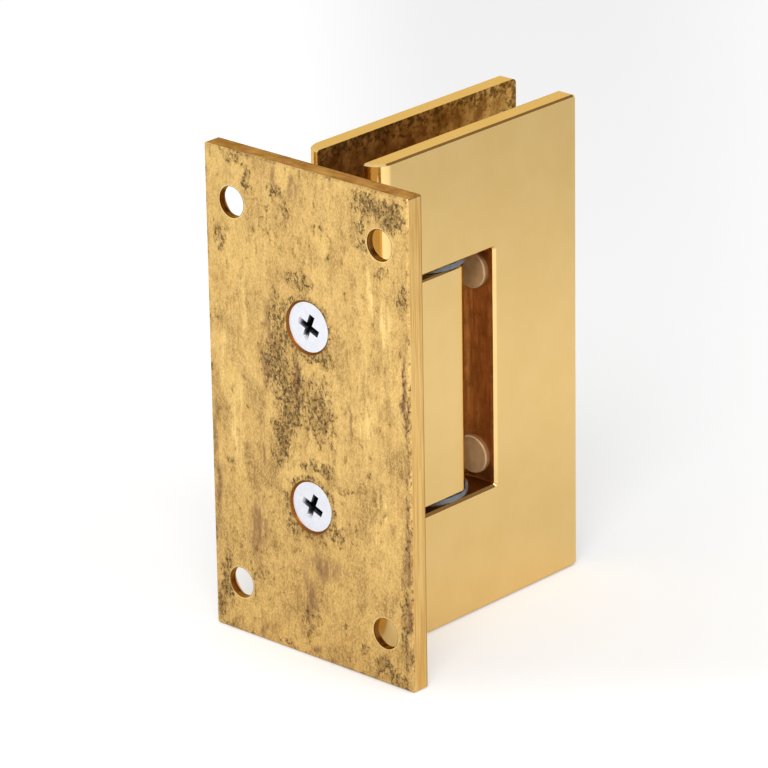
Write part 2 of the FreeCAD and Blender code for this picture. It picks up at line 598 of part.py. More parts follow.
def make_fasteners():
    plate_screws = []
    clock = FreeCAD.Rotation(FreeCAD.Vector(0, 0, 1), size("Dims.plate_screw_clock"))
    for name, level in (("upper", SCREW_LEVEL), ("lower", f"-{SCREW_LEVEL}")):
        screw = sunk_screw(f"{name}_plate_screw", "Dims.plate_screw_head", "Dims.plate_screw_dia",
                           "Dims.plate_screw_length")
        place(screw, x="Dims.plate_screw_sunk", z=level, rotation=DOWN_X * clock)
        plate_screws.append(screw)
    keep_group("plate_screws", plate_screws)

    clamp_screws = []
    for number, (x, z) in enumerate(CLAMP_SCREW_AXES, start=1):
        screw = sunk_screw(f"clamp_screw_{number}", "Dims.clamp_screw_head", "Dims.clamp_screw_dia",
                           "Dims.clamp_screw_length")
        place(screw, x=x, y=CLAMP_SCREW_TOP, z=z, rotation=DOWN_Y)
        clamp_screws.append(screw)
    keep_group("clamp_screws", clamp_screws)

    grubs = []
    for name, level in (("upper", LUG_MIDDLE), ("lower", f"-{LUG_MIDDLE}")):
        screw = grub_screw(f"{name}_grub_screw")
        place(screw, x=GRUB_START, z=level, rotation=DOWN_X)
        grubs.append(screw)
    keep_group("pin_grub_screws", grubs)


def check_document():
    """Stop if a feature failed or a sub-part has no sound shape."""
    doc.recompute()
    for feature in doc.Objects:
        if "Invalid" in feature.State or "Error" in feature.State:
            raise RuntimeError(f"{feature.Label} failed: {feature.State}")
    for node in nodes:
        if node.Shape.isNull() or not node.Shape.isValid() or not node.Shape.Solids:
            raise RuntimeError(f"{node.Label} has no valid solid")


def export_nodes():
    os.makedirs(PARTS_FOLDER, exist_ok=True)
    for node in nodes:
        node.Shape.exportStep(os.path.join(PARTS_FOLDER, f"{node.Label}.step"))


fill_sheet()
make_wall_plate()
make_pivot_block()
make_front_clamp_plate()
make_rear_clamp_plate()
make_hinge_pin()
make_bushes_and_washers()
make_detent("upper", "Dims.pad_span / 2")
make_detent("lower", "-Dims.pad_span / 2")
make_buffer("upper_buffer", BUFFER_LEVEL)
make_buffer("lower_buffer", f"-{BUFFER_LEVEL}")
make_fasteners()
check_document()
export_nodes()
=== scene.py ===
"""Looks of the shower door hinge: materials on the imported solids, a studio and a camera."""

import math

import bpy
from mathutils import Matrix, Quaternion, Vector


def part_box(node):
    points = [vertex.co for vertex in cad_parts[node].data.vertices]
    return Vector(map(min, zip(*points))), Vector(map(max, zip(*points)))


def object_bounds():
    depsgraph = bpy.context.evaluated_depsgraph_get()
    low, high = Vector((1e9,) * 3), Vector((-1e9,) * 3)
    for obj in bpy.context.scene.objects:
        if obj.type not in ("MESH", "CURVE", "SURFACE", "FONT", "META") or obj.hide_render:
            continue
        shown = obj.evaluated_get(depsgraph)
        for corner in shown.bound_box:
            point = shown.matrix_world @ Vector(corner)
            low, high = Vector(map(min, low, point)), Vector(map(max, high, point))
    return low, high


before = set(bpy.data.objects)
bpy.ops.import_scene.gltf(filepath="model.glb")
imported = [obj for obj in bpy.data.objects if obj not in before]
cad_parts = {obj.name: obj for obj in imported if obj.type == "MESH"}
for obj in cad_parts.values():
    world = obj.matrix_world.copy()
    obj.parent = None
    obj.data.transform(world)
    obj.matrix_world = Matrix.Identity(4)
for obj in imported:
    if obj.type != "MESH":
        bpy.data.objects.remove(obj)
cad_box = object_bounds()

MILLIMETRES = 1000.0     # in a metre
LOW, HIGH = 0, 1         # the two corners of a box


def end_of(node, end, axis):
    """Where the box of a solid ends along an axis, in millimetres."""
    return getattr(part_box(node)[end], axis) * MILLIMETRES


# Faces and edges of the solids that the materials tell apart, in millimetres
PLATE_HALF_WIDTH = end_of("wall_plate", HIGH, "y")
PLATE_HALF_HEIGHT = end_of("wall_plate", HIGH, "z")
PLATE_FRONT = end_of("wall_plate", HIGH, "x")
PLATE_BEVEL = 0.35
WALL_HOLE_Y, WALL_HOLE_Z, WALL_HOLE_RADIUS = 17.1, 35.5, 2.8     # at plus and minus Y and Z
SCREW_FACE = end_of("plate_screws", LOW, "x")
SCREW_RADIUS = end_of("plate_screws", HIGH, "y")
SCREW_LEVEL = end_of("plate_screws", HIGH, "z") - SCREW_RADIUS
CLAMP_SCREW_FACE = end_of("clamp_screws", HIGH, "y")
CLAMP_TOP = end_of("rear_clamp_plate", HIGH, "z")
CLAMP_END = end_of("rear_clamp_plate", HIGH, "x")
OUTER_FACE = end_of("rear_clamp_plate", HIGH, "y")
GLASS_FACE = end_of("rear_clamp_plate", LOW, "y")
BUFFER_FACE = end_of("upper_buffer", LOW, "x")
BUFFER_HEAD = 1.0        # how far a buffer stands out from the notch's end wall
NOTCH_END = BUFFER_FACE + BUFFER_HEAD
NOTCH_TOP = end_of("upper_washer", HIGH, "z")
NOTCH_BEVEL = 0.5

# Tarnish on the wall plate's back, placed one by one: Y, Z, half width, half height in
# millimetres, and how dense its specks are
STAINS = [
    (16.5, 43.5, 3.0, 1.2, 0.8), (13.5, 40.5, 1.4, 3.0, 1.0), (7.0, 40.0, 1.6, 1.8, 1.0),
    (5.0, 38.0, 2.0, 3.0, 0.7), (8.0, 34.0, 6.0, 6.0, 0.3), (20.0, 29.0, 2.2, 3.2, 0.8),
    (1.5, 24.5, 4.0, 2.0, 0.8), (7.0, 16.0, 3.0, 6.0, 0.8), (-15.0, 42.0, 5.0, 2.6, 1.2),
    (-20.0, 41.0, 3.5, 3.5, 1.2), (-13.0, 36.5, 2.4, 4.5, 0.7), (-17.5, 30.8, 1.6, 1.6, 0.8),
    (-22.0, 27.0, 1.6, 4.0, 0.8), (-2.5, 11.5, 4.5, 1.8, 1.1), (8.0, 9.0, 4.0, 4.5, 0.9),
    (2.5, 5.0, 2.5, 7.0, 0.9), (6.0, -2.0, 2.2, 5.0, 0.8), (-2.5, 2.0, 4.5, 8.0, 0.8),
    (6.5, -9.5, 2.5, 2.2, 0.8), (-2.0, -9.0, 5.0, 1.6, 0.9), (-8.5, -11.5, 2.4, 1.0, 0.7),
    (-6.0, -20.0, 3.0, 2.4, 0.8), (4.0, -21.5, 2.2, 2.4, 0.9), (20.3, -35.5, 1.8, 6.5, 1.1),
    (22.3, -41.0, 1.4, 3.0, 1.0), (0.5, -38.0, 4.0, 6.0, 0.5), (6.0, -44.0, 3.0, 1.0, 0.8),
    (-12.5, -40.0, 1.8, 1.4, 1.0), (-17.0, -42.0, 4.0, 2.4, 0.9), (-21.8, -33.0, 1.4, 10.0, 0.9),
    (-22.6, 8.0, 0.9, 9.0, 0.8), (-22.7, -12.0, 0.7, 12.0, 0.7), (-1.0, 32.0, 8.0, 6.0, 0.2),
    (7.0, 8.0, 3.5, 7.0, 1.2), (4.0, 2.0, 4.0, 8.0, 1.2), (-2.0, 1.5, 3.5, 7.0, 1.1),
    (6.0, -4.5, 3.0, 5.0, 1.2), (14.0, -30.0, 8.0, 9.0, 0.3), (-19.0, -43.3, 3.0, 1.6, 1.2),
]
# Purple-brown runs down the plate: Y, Z, half width, half height
RUNS = [
    (7.0, 43.0, 0.9, 2.8), (3.0, 41.5, 1.6, 2.2), (10.2, 6.0, 0.8, 6.0), (2.6, 5.5, 0.9, 5.5),
    (10.8, -9.8, 0.7, 3.2), (-9.6, 1.8, 0.5, 3.6), (11.8, -42.0, 0.8, 3.4),
    (-1.0, -43.6, 2.4, 1.2), (-22.3, -22.0, 1.0, 20.0), (-22.4, 10.0, 0.8, 12.0),
    (22.2, -14.0, 0.8, 18.0), (12.5, -24.0, 3.0, 7.0), (9.0, 12.0, 1.6, 9.0),
    (-3.0, -27.5, 5.0, 2.6), (1.0, -33.0, 2.0, 5.0),
]
# Brighter, cleaner stretches: Y, Z, half width, half height
GLEAMS = [
    (14.7, 18.7, 1.6, 7.0), (19.2, 10.3, 1.8, 8.0), (-14.7, 27.0, 1.8, 5.0),
    (-13.0, 4.0, 2.2, 10.0), (-18.0, 22.0, 1.8, 6.0), (4.4, 17.4, 1.4, 3.0),
    (17.0, -5.0, 2.2, 8.0), (-16.5, -16.0, 2.0, 8.0),
]
SPOT_STARTS, SPOT_FULL = 1.3, 0.3    # where a spot fades in, in half widths of its ellipse
DRIFT = 4.0              # the width over which noise moves the spots' outlines, in millimetres
SCATTER_DEPTH = 1.0      # how far light goes into nylon, in millimetres

# Colours, as sRGB codes: of polished brass
GOLD, PALE_GOLD, GRAZING_GOLD = 0xDFBD7C, 0xE2C182, 0xF7DAA6
# of the wall plate's back, from bare brass to grime
# the last colour darkens the plate's back towards the bottom
RAW_BRASS, PALE_RAW_BRASS, BOTTOM_BRASS = 0xC8A162, 0xDFB972, 0xB48E52
# the light grain's colour also paints highlight lines along the crests of the relief
GLEAM, LIGHT_GRAIN_AND_RIDGE_HIGHLIGHT, DARK_GRAIN = 0xFBDA8E, 0xFCDC94, 0x9E7A48
SMEAR, VEIL, RUN, WRINKLE, GRIME = 0x86623A, 0x9C763E, 0x86604A, 0x4C3626, 0x4C3A28
# of the wall plate's rim, its ends and its holes
DARK_RIM, LIGHT_RIM, FRONT_LINE = 0xCEA25C, 0xE4BE7A, 0x94704A
WORN_END, END_PATCH = 0x9C6A50, 0x64401F
# painted shade for the ring round the screw heads, and a painted highlight for the holes' lip
SCREW_GAP_SHADE, HOLE_LIP_HIGHLIGHT, DARK_HOLE, LIGHT_HOLE = 0x824E20, 0xFFE6A8, 0x5E3A18, 0x96642E
# of the clamp's inside
DARK_INSIDE, LIGHT_INSIDE, INSIDE_SPECK = 0x946830, 0xD4A65E, 0x4A3016
# of the notch: its walls, its end wall and a painted shine on it, a darker colour for patches
# and streaks, and dust
NOTCH_WALL, END_WALL, END_WALL_SHINE = 0x84532A, 0xCC8A50, 0xECB878
NOTCH_DARKENING, DUST = 0x6E3C18, 0xF2C070
# of zinc and steel
# the last colour is painted shade in the screws' cross recesses
DARK_ZINC, LIGHT_ZINC, RECESS_SHADE = 0xD6D8E0, 0xEDEEF3, 0x2A211A
DARK_STEEL, LIGHT_STEEL = 0xA9ABB0, 0xC6C8CC
# of the card that lights the clamp's edges
WARM_CARD = 0xFFE0C0

# Camera, fitted to the photo's corners, holes and screws
CAMERA_PLACE = Vector((-0.59886, -0.56633, 0.32923))
CAMERA_TARGET = Vector((0.0255, 0.00575, -0.0028))
CAMERA_ROLL = math.radians(-0.94)
CAMERA_LENS, SENSOR_WIDTH = 242.38, 36.0
CLIP_END = 50.0
PICTURE_RIGHT = (0.671, -0.741)      # along X and Y: to the right in the photo's picture
PICTURE_FRONT = (-0.686, -0.629)     # along X and Y: over the floor, out of that picture

# Studio
STAGE_CENTRE = Vector((0.0, 0.0, 0.0))
FLOOR_SIZE = 12.0
FLOOR_GAP = 0.0001       # keeps the floor off the faces that stand on it
EVEN_GREY = (0.62, 0.62, 0.62, 1.0)
WHITE = (1.0, 1.0, 1.0, 1.0)
BLACK = (0.0, 0.0, 0.0, 1.0)


def colour(code):
    """A linear colour with alpha from an sRGB code."""
    channels = [((code >> shift) & 255) / 255 for shift in (16, 8, 0)]
    linear = [c / 12.92 if c <= 0.04045 else ((c + 0.055) / 1.055) ** 2.4 for c in channels]
    return (*linear, 1.0)


GOLD_TINT = colour(GRAZING_GOLD)     # keeps polished brass gold at a grazing view


class Graph:
    """The node graph of one material; its places are in millimetres of the frame."""

    def __init__(self, name):
        self.material = bpy.data.materials.new(name)
        self.material.use_nodes = True
        self.nodes = self.material.node_tree.nodes
        self.links = self.material.node_tree.links
        self.shader = self.nodes["Principled BSDF"]
        coordinates = self.nodes.new("ShaderNodeTexCoord")
        self.place = self.scaled(coordinates.outputs["Object"], (MILLIMETRES,) * 3)
        parts = self.nodes.new("ShaderNodeSeparateXYZ")
        self.feed(parts.inputs[0], self.place)
        self.x, self.y, self.z = parts.outputs[:3]

    def feed(self, socket, value):
        """Link a socket or set it to a plain value."""
        if isinstance(value, bpy.types.NodeSocket):
            self.links.new(value, socket)
        else:
            socket.default_value = value

    def scaled(self, vector, factors, shift=(0.0, 0.0, 0.0)):
        """A vector with each part times its factor, then shifted."""
        node = self.nodes.new("ShaderNodeVectorMath")
        node.operation = "MULTIPLY_ADD"
        self.feed(node.inputs[0], vector)
        node.inputs[1].default_value = factors
        self.feed(node.inputs[2], shift)
        return node.outputs["Vector"]

    def length(self, vector):
        """The length of a vector."""
        node = self.nodes.new("ShaderNodeVectorMath")
        node.operation = "LENGTH"
        self.feed(node.inputs[0], vector)
        return node.outputs["Value"]

    def math(self, operation, first, second=0.0):
        """One operation on one or two values."""
        node = self.nodes.new("ShaderNodeMath")
        node.operation = operation
        self.feed(node.inputs[0], first)
        self.feed(node.inputs[1], second)
        return node.outputs["Value"]

    def chain(self, operation, values):
        """One operation on several values, from the first to the last."""
        result, *others = values
        for value in others:
            result = self.math(operation, result, value)
        return result

    def most(self, *values):
        """The largest of several values."""
        return self.chain("MAXIMUM", values)

    def least(self, *values):
        """The smallest of several values."""
        return self.chain("MINIMUM", values)

    def product(self, *values):
        """Several values multiplied."""
        return self.chain("MULTIPLY", values)

    def total(self, *values):
        """Several values added."""
        return self.chain("ADD", values)

    def less(self, first, second):
        """The first value less the second."""
        return self.math("SUBTRACT", first, second)

    def size_of(self, value):
        """A value without its sign."""
        return self.math("ABSOLUTE", value)

    def fade(self, value, start, end, low=0.0, high=1.0):
        """Goes smoothly from low to high while the value goes from start to end."""
        node = self.nodes.new("ShaderNodeMapRange")
        node.interpolation_type = "SMOOTHSTEP"
        self.feed(node.inputs["Value"], value)
        node.inputs["From Min"].default_value = start
        node.inputs["From Max"].default_value = end
        node.inputs["To Min"].default_value = low
        node.inputs["To Max"].default_value = high
        return node.outputs["Result"]

    def near(self, value, edge, starts, full, high=1.0):
        """Fades in beside an edge; it starts and is full at these distances past it."""
        return self.fade(value, edge + starts, edge + full, high=high)

    def noise(self, period, stretch=(1.0, 1.0, 1.0), detail=4.0, shift=(0.0, 0.0, 0.0),
              rough=0.6, output="Fac"):
        """Cloudy noise from 0 to 1; the period is in millimetres, times the stretch."""
        node = self.nodes.new("ShaderNodeTexNoise")
        factors = tuple(1 / (period * s) for s in stretch)
        self.feed(node.inputs["Vector"], self.scaled(self.place, factors, shift))
        node.inputs["Scale"].default_value = 1.0
        node.inputs["Detail"].default_value = detail
        node.inputs["Roughness"].default_value = rough
        return node.outputs[output]

    def creases(self, noise, outer, inner, high=1.0):
        """Thin winding lines, where a noise is close to its middle."""
        return self.fade(self.size_of(self.less(noise, 0.5)), outer, inner, high=high)

    def blend(self, factor, first, second):
        """A colour between two colours."""
        node = self.nodes.new("ShaderNodeMix")
        node.data_type = "RGBA"
        factor_socket, *_, first_socket, second_socket = [s for s in node.inputs if s.enabled]
        self.feed(factor_socket, factor)
        self.feed(first_socket, first)
        self.feed(second_socket, second)
        return next(s for s in node.outputs if s.enabled)

    def shade(self, factor, first, second):
        """A colour between two sRGB codes."""
        return self.blend(factor, colour(first), colour(second))

    def coat(self, under, code, cover, strength=1.0):
        """A colour with another, an sRGB code, laid over it where the cover is."""
        if strength != 1.0:
            cover = self.product(cover, strength)
        return self.blend(cover, under, colour(code))

    def bump(self, height, strength, distance):
        """Relief whose full height is the distance, in millimetres."""
        node = self.nodes.new("ShaderNodeBump")
        node.inputs["Strength"].default_value = strength
        node.inputs["Distance"].default_value = distance / MILLIMETRES
        self.feed(node.inputs["Height"], height)
        self.feed(self.shader.inputs["Normal"], node.outputs["Normal"])

    def set(self, **sockets):
        """Set inputs of the shader; an underscore in a name stands for a space."""
        for name, value in sockets.items():
            self.feed(self.shader.inputs[name.replace("_", " ")], value)


def distance_from(graph, y, z):
    """Distance on the wall plate from the nearest of the places at plus or minus y and z."""
    side = graph.less(graph.size_of(graph.y), y)
    height = graph.less(graph.size_of(graph.z), z)
    return graph.math("SQRT", graph.total(graph.product(side, side),
                                          graph.product(height, height)))


def spot(graph, place, y, z, half_width, half_height):
    """1 in the middle of an ellipse on the plate's back, fading to 0 a little outside it."""
    local = graph.scaled(place, (0.0, 1 / half_width, 1 / half_height),
                         (0.0, -y / half_width, -z / half_height))
    return graph.fade(graph.length(local), SPOT_STARTS, SPOT_FULL)


def polished_gold(graph):
    """Colour and roughness of polished brass: faint haze and fine scratches."""
    haze = graph.noise(6.0)
    scratches = graph.noise(0.5, stretch=(1, 1, 12), detail=3)
    gold = graph.shade(graph.fade(haze, 0.3, 0.7), GOLD, PALE_GOLD)
    worn = graph.total(haze, graph.product(scratches, 0.4))
    return gold, graph.fade(worn, 0.4, 1.0, low=0.14, high=0.18)


def stain_density(graph, warped):
    """How dense the specks are: in the stains, in patches, at the edges, round the screws."""
    stains = [graph.product(spot(graph, warped, *ellipse), density)
              for *ellipse, density in STAINS]
    edge_distance = graph.least(graph.less(PLATE_HALF_WIDTH, graph.size_of(graph.y)),
                                graph.less(PLATE_HALF_HEIGHT, graph.size_of(graph.z)))
    patches = graph.noise(6.0, stretch=(1, 1, 1.4), detail=3, shift=(8, 1, 6))
    patchy = graph.fade(patches, 0.45, 0.75)
    at_edge = graph.fade(edge_distance, 1.4, 0.0)
    worn_edge = graph.product(at_edge, graph.total(graph.product(patchy, 0.7), 0.25))
    halo = graph.near(distance_from(graph, 0.0, SCREW_LEVEL), SCREW_RADIUS,
                      starts=2.2, full=0.4)
    return graph.most(*stains, graph.product(patchy, 0.35), worn_edge, halo)


def cloudy_brass(graph, warped):
    """Raw brass with clouds, brown smears, bright streaks, a fine grain and painted highlight
    lines along the crests of the relief; darker towards the bottom.
    """
    clouds = graph.noise(7.0, stretch=(1, 1, 2.2), detail=6, shift=(3, 7, 1))
    brass = graph.shade(graph.fade(clouds, 0.36, 0.66), RAW_BRASS, PALE_RAW_BRASS)
    smears = graph.noise(5.0, stretch=(1, 1, 1.6), detail=5, shift=(4, 8, 2), rough=0.5)
    smeared_below = graph.fade(graph.z, 30.0, -20.0, low=0.35, high=0.7)
    brass = graph.coat(brass, SMEAR, graph.product(graph.fade(smears, 0.46, 0.64),
                                                   smeared_below))
    streaks = graph.fade(graph.noise(1.3, stretch=(1, 1, 9), detail=5), 0.42, 0.66)
    gleams = graph.most(*[spot(graph, warped, *gleam) for gleam in GLEAMS])
    gleams = graph.product(graph.total(graph.product(gleams, 0.8), 0.2), streaks)
    brass = graph.coat(brass, GLEAM, gleams)
    # darker towards the bottom of the plate
    darker_towards_bottom = graph.fade(graph.z, 0.0, -40.0, high=0.35)
    brass = graph.coat(brass, BOTTOM_BRASS, darker_towards_bottom)
    grain = graph.noise(0.36, stretch=(1, 1, 1.2), detail=4, shift=(6, 3, 8), rough=0.7)
    brass = graph.coat(brass, LIGHT_GRAIN_AND_RIDGE_HIGHLIGHT, graph.fade(grain, 0.5, 0.68, high=0.4))
    brass = graph.coat(brass, DARK_GRAIN, graph.fade(grain, 0.5, 0.32, high=0.45))
    # painted highlight: thin light lines along the crests of the relief
    ridge_highlights = graph.noise(0.8, stretch=(1, 1, 1.8), detail=6, shift=(9, 5, 3), rough=0.65)
    return graph.coat(brass, LIGHT_GRAIN_AND_RIDGE_HIGHLIGHT, graph.creases(ridge_highlights, 0.05, 0.01, high=0.35))


def tarnished_back(graph):
    """Colour of the wall side and how much grime lies on it."""
    drift = graph.noise(2.2, stretch=(1, 1, 1.5), detail=3, output="Color")
    centred = graph.scaled(graph.place, (1.0,) * 3, (-DRIFT / 2,) * 3)
    warped = graph.scaled(drift, (DRIFT,) * 3, centred)
    stained = stain_density(graph, warped)
    crumple = graph.noise(1.6, stretch=(1, 1, 1.5), detail=9, shift=(5, 2, 9), rough=0.68)
    veil = graph.fade(graph.total(crumple, graph.product(stained, 0.12)), 0.48, 0.72)
    folds = graph.noise(1.1, stretch=(1, 1, 1.7), detail=8, shift=(2, 9, 4), rough=0.65)
    broken = graph.noise(0.9, stretch=(1, 1, 1.2), detail=4, shift=(7, 7, 1))
    wrinkle = graph.product(
        graph.creases(folds, 0.06, 0.015), graph.fade(broken, 0.42, 0.56),
        graph.fade(graph.total(veil, graph.product(stained, 1.3)), 0.25, 1.3))
    flecks = graph.noise(0.6, stretch=(1, 1, 1.4), detail=6, shift=(1, 4, 2), rough=0.8)
    grime = graph.fade(graph.total(flecks, graph.product(stained, 0.14)), 0.64, 0.72)
    runs = graph.product(graph.most(*[spot(graph, warped, *run) for run in RUNS]),
                         graph.fade(graph.noise(1.5, stretch=(1, 1, 4)), 0.35, 0.6))

    back = graph.coat(cloudy_brass(graph, warped), VEIL, veil, strength=0.5)
    back = graph.coat(back, RUN, runs, strength=0.7)
    back = graph.coat(back, WRINKLE, wrinkle, strength=0.9)
    back = graph.coat(back, GRIME, grime, strength=0.65)
    return back, graph.most(grime, graph.product(wrinkle, 0.6))


def plate_rim(graph, lines):
    """Colour of the wall plate's four narrow sides: drawn lines, and ends worn brown."""
    rim = graph.shade(lines, DARK_RIM, LIGHT_RIM)
    rim = graph.coat(rim, FRONT_LINE,
                     graph.near(graph.x, PLATE_FRONT, starts=-0.75, full=-0.35, high=0.8))
    on_ends = graph.near(graph.size_of(graph.z), PLATE_HALF_HEIGHT, starts=-0.1, full=-0.02)
    worn = graph.fade(graph.noise(4.0, detail=6), 0.3, 0.7, low=0.5)
    rim = graph.coat(rim, WORN_END, graph.product(on_ends, worn))
    patches = graph.noise(4.0, stretch=(0.4, 1, 1), detail=8, shift=(2, 6, 6), rough=0.7)
    return graph.coat(rim, END_PATCH, graph.product(on_ends, graph.fade(patches, 0.44, 0.7)),
                      strength=0.7)


def wall_plate_brass():
    """Raw brass, tarnished on the wall side, polished on the room side."""
    graph = Graph("raw_brass")
    on_back = graph.near(graph.x, PLATE_BEVEL, starts=0.0, full=-0.08)
    on_front = graph.near(graph.x, PLATE_FRONT, starts=-0.1, full=-0.02)
    back, grime = tarnished_back(graph)
    gold, _ = polished_gold(graph)
    lines = graph.fade(graph.noise(0.5, stretch=(1, 30, 30), detail=4), 0.35, 0.65)
    surface = graph.blend(on_back, plate_rim(graph, lines), back)
    surface = graph.blend(on_front, surface, gold)
    from_screw = distance_from(graph, 0.0, SCREW_LEVEL)
    # painted shade: a dark ring in the countersink round each screw head
    surface = graph.coat(surface, SCREW_GAP_SHADE,
                         graph.near(from_screw, SCREW_RADIUS, starts=0.5, full=0.35))
    from_hole = distance_from(graph, WALL_HOLE_Y, WALL_HOLE_Z)
    # painted highlight: a bright line on the lip of each hole on the wall side
    lip_highlight = graph.product(graph.near(from_hole, WALL_HOLE_RADIUS, starts=0.35, full=0.2),
                           on_back)
    surface = graph.coat(surface, HOLE_LIP_HIGHLIGHT, lip_highlight, strength=0.4)
    in_hole = graph.near(from_hole, WALL_HOLE_RADIUS, starts=0.12, full=0.04)
    surface = graph.blend(in_hole, surface, graph.shade(lines, DARK_HOLE, LIGHT_HOLE))
    grime = graph.product(grime, on_back)
    matt = graph.fade(graph.total(graph.product(on_back, 0.6), graph.product(grime, 0.4)),
                      0.0, 1.0, low=0.26, high=0.56)
    polished = graph.fade(on_front, 0.0, 1.0, low=1.0, high=0.17)
    graph.set(Base_Color=surface, Specular_Tint=GOLD_TINT,
              Metallic=graph.fade(grime, 0.0, 1.0, low=1.0, high=0.5),
              Roughness=graph.least(matt, polished))
    pits = graph.less(graph.noise(0.6, stretch=(1, 1, 1.3), detail=6, rough=0.7),
                      graph.product(grime, 0.5))
    graph.bump(graph.product(pits, on_back), strength=0.6, distance=0.08)
    return graph.material


def block_brass():
    """Polished brass all over."""
    graph = Graph("polished_block_brass")
    gold, roughness = polished_gold(graph)
    graph.set(Base_Color=gold, Roughness=roughness, Metallic=1.0, Specular_Tint=GOLD_TINT)
    return graph.material


def glass_side(graph, patches, height):
    """Colour of the faces between the clamp plates: patchy, with more specks at the edges."""
    edge_distance = graph.least(graph.less(CLAMP_END, graph.x), graph.less(CLAMP_TOP, height))
    near_edge = graph.fade(edge_distance, 4.0, 0.3, high=0.14)
    specks = graph.total(graph.noise(0.8, detail=7, shift=(4, 1, 7)), near_edge)
    return graph.coat(graph.shade(patches, DARK_INSIDE, LIGHT_INSIDE), INSIDE_SPECK,
                      graph.fade(specks, 0.54, 0.70), strength=0.75)


def darkened_notch(graph, patches):
    """Colour of the notch's walls: brown, darker in patches and vertical streaks, a painted
    shine in streaks on the end wall, and dust that shows most where that shine is painted.
    """
    on_end_wall = graph.near(graph.x, NOTCH_END, starts=-0.06, full=-0.02)
    # painted shine: lighter vertical streaks on the notch's end wall
    shine = graph.noise(1.6, stretch=(1, 1, 20), detail=3, shift=(3, 3, 3))
    shine = graph.fade(shine, 0.45, 0.7)
    end_wall = graph.shade(graph.product(shine, 0.6), END_WALL, END_WALL_SHINE)
    walls = graph.blend(on_end_wall, colour(NOTCH_WALL), end_wall)
    # darker patches and vertical streaks on the notch's walls
    dark_streaks = graph.fade(graph.noise(0.7, stretch=(1, 1, 12), detail=5), 0.4, 0.65)
    walls = graph.coat(walls, NOTCH_DARKENING, graph.most(dark_streaks, patches), strength=0.55)
    dust = graph.fade(graph.noise(0.22, detail=3, shift=(5, 5, 2)), 0.52, 0.66)
    dust = graph.product(dust, on_end_wall)
    # the dust is painted brighter where the painted shine is
    lit = graph.total(graph.product(shine, 0.5), 0.2)
    return graph.coat(walls, DUST, graph.product(dust, lit))


def clamp_brass():
    """Polished outside, with the tarnish of bare brass in the notch and between the plates."""
    graph = Graph("polished_clamp_brass")
    gold, roughness = polished_gold(graph)
    depth = graph.size_of(graph.y)
    height = graph.size_of(graph.z)
    between = graph.near(depth, GLASS_FACE, starts=0.12, full=0.02)
    notch = graph.product(graph.near(graph.x, NOTCH_END, starts=0.06, full=0.02),
                          graph.near(height, NOTCH_TOP, starts=0.06, full=0.02),
                          graph.near(depth, OUTER_FACE - NOTCH_BEVEL, starts=0.08, full=0.0))
    patches = graph.noise(2.6, stretch=(1, 1, 1.3), detail=6)
    patches = graph.fade(patches, 0.36, 0.64)
    surface = graph.blend(between, gold, glass_side(graph, patches, height))
    surface = graph.blend(notch, surface, darkened_notch(graph, patches))
    dull = graph.most(between, notch)
    graph.set(Base_Color=surface, Metallic=1.0, Specular_Tint=GOLD_TINT,
              Roughness=graph.most(roughness, graph.product(dull, 0.45)))
    graph.bump(graph.product(graph.noise(0.8, detail=6), dull), strength=0.3, distance=0.06)
    return graph.material


def zinc_plating(name, distance_below_face):
    """Bright zinc, with a mottled head and painted shade in the cross recess."""
    graph = Graph(name)
    below = distance_below_face(graph)
    under_face = graph.fade(below, 0.15, 0.9)
    over_shank = graph.fade(below, 3.2, 2.6)
    # painted shade: dark colour in the cross recess, below the head's face and above the shank
    shade_in_recess = graph.product(under_face, over_shank)
    cloud = graph.noise(1.2, detail=3)
    plated = graph.shade(cloud, DARK_ZINC, LIGHT_ZINC)
    graph.set(Base_Color=graph.coat(plated, RECESS_SHADE, shade_in_recess, strength=0.9), Metallic=1.0,
              Roughness=graph.fade(cloud, 0.2, 0.8, low=0.26, high=0.4))
    graph.bump(graph.noise(0.35, detail=2), strength=0.06, distance=0.03)
    return graph.material


def steel():
    """Ground steel, with fine lines round the pin's axis."""
    graph = Graph("ground_steel")
    lines = graph.noise(0.25, stretch=(6, 6, 1), detail=2)
    graph.set(Base_Color=graph.shade(lines, DARK_STEEL, LIGHT_STEEL), Metallic=1.0,
              Roughness=graph.fade(lines, 0.2, 0.8, low=0.22, high=0.36))
    graph.bump(lines, strength=0.05, distance=0.02)
    return graph.material


def nylon(name, dark, light, roughness, subsurface, rim=None, side=None):
    """Moulded nylon: a faint cloud in its colour, a fine grain, and on the buffers a paler rim
    that is a painted highlight and a darker side that is painted shade."""
    graph = Graph(name)
    cloud = graph.fade(graph.noise(2.2), 0.3, 0.7)
    surface = graph.shade(cloud, dark, light)
    if rim is not None:
        # painted highlight: a paler rim round the buffer's face
        surface = graph.coat(surface, rim,
                             graph.near(graph.x, BUFFER_FACE, starts=0.02, full=0.08))
        # painted shade: a darker side wall
        surface = graph.coat(surface, side,
                             graph.near(graph.x, BUFFER_FACE, starts=0.14, full=0.26))
    graph.set(Base_Color=surface,
              Roughness=graph.fade(cloud, 0.0, 1.0, low=roughness, high=roughness + 0.12),
              Subsurface_Weight=subsurface, Subsurface_Scale=SCATTER_DEPTH / MILLIMETRES)
    graph.bump(graph.noise(0.3, detail=2), strength=0.1, distance=0.03)
    return graph.material


